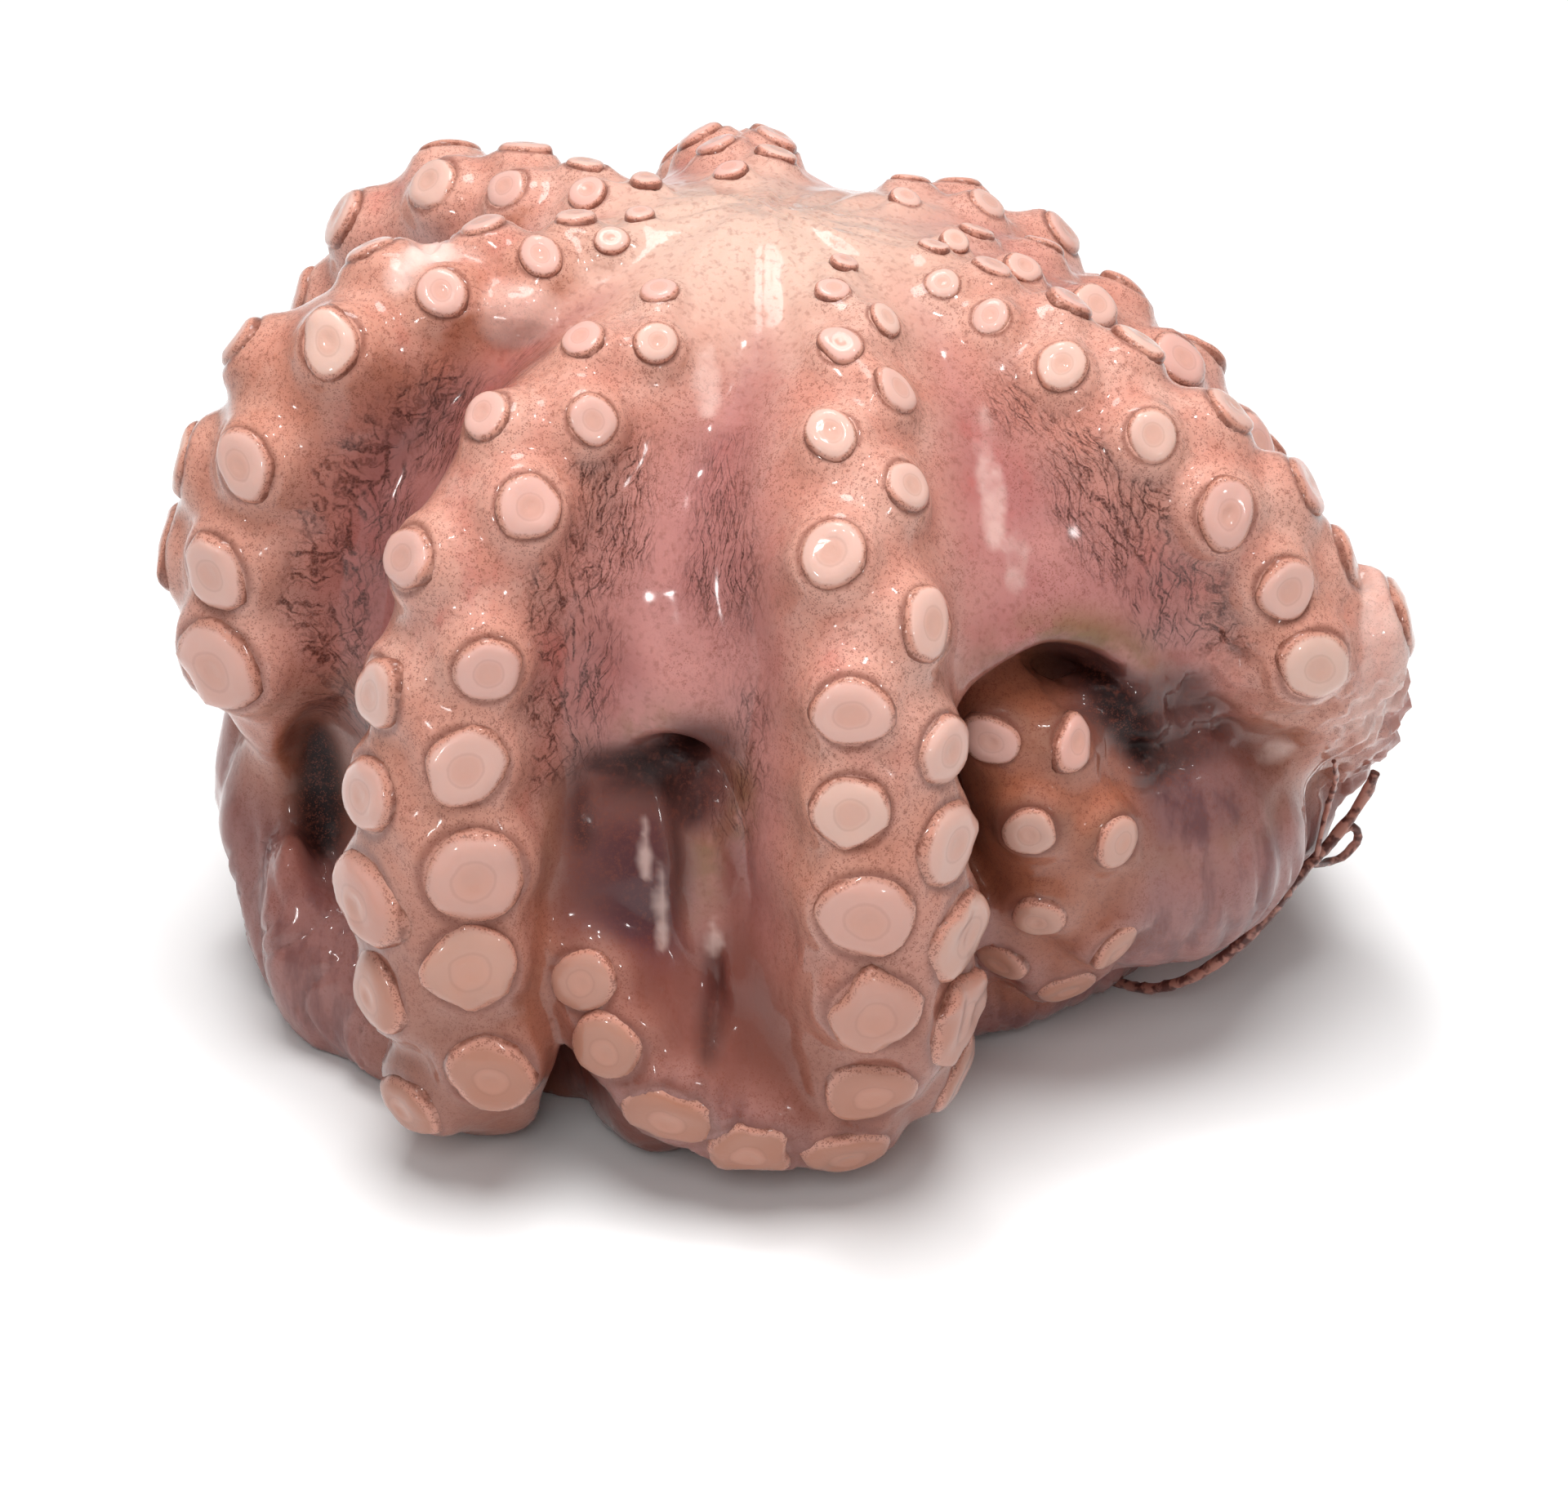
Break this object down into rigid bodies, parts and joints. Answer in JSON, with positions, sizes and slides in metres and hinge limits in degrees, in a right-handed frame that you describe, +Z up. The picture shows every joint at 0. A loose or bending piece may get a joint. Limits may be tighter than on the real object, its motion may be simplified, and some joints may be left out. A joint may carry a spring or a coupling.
{
  "type": "whole octopus",
  "caption": "Whole raw octopus packed flower-fashion: a domed body with the mouth on top, suckered arms arching down and tucking under, flat where it rests.",
  "frame": {"origin": "centre of the bounding box's bottom face, on the surface it rests on", "axes": "+Z up, +X along the longer side of the heap, -Y towards the side with the open hollows and the arm that turns back at the floor"},
  "size_m": [0.2066, 0.1904, 0.139],
  "materials": {
    "skin": "wet, soft, glossy skin"
  },
  "bodies": {
    "root": {"octopus": "skin"}
  },
  "joints": []
}
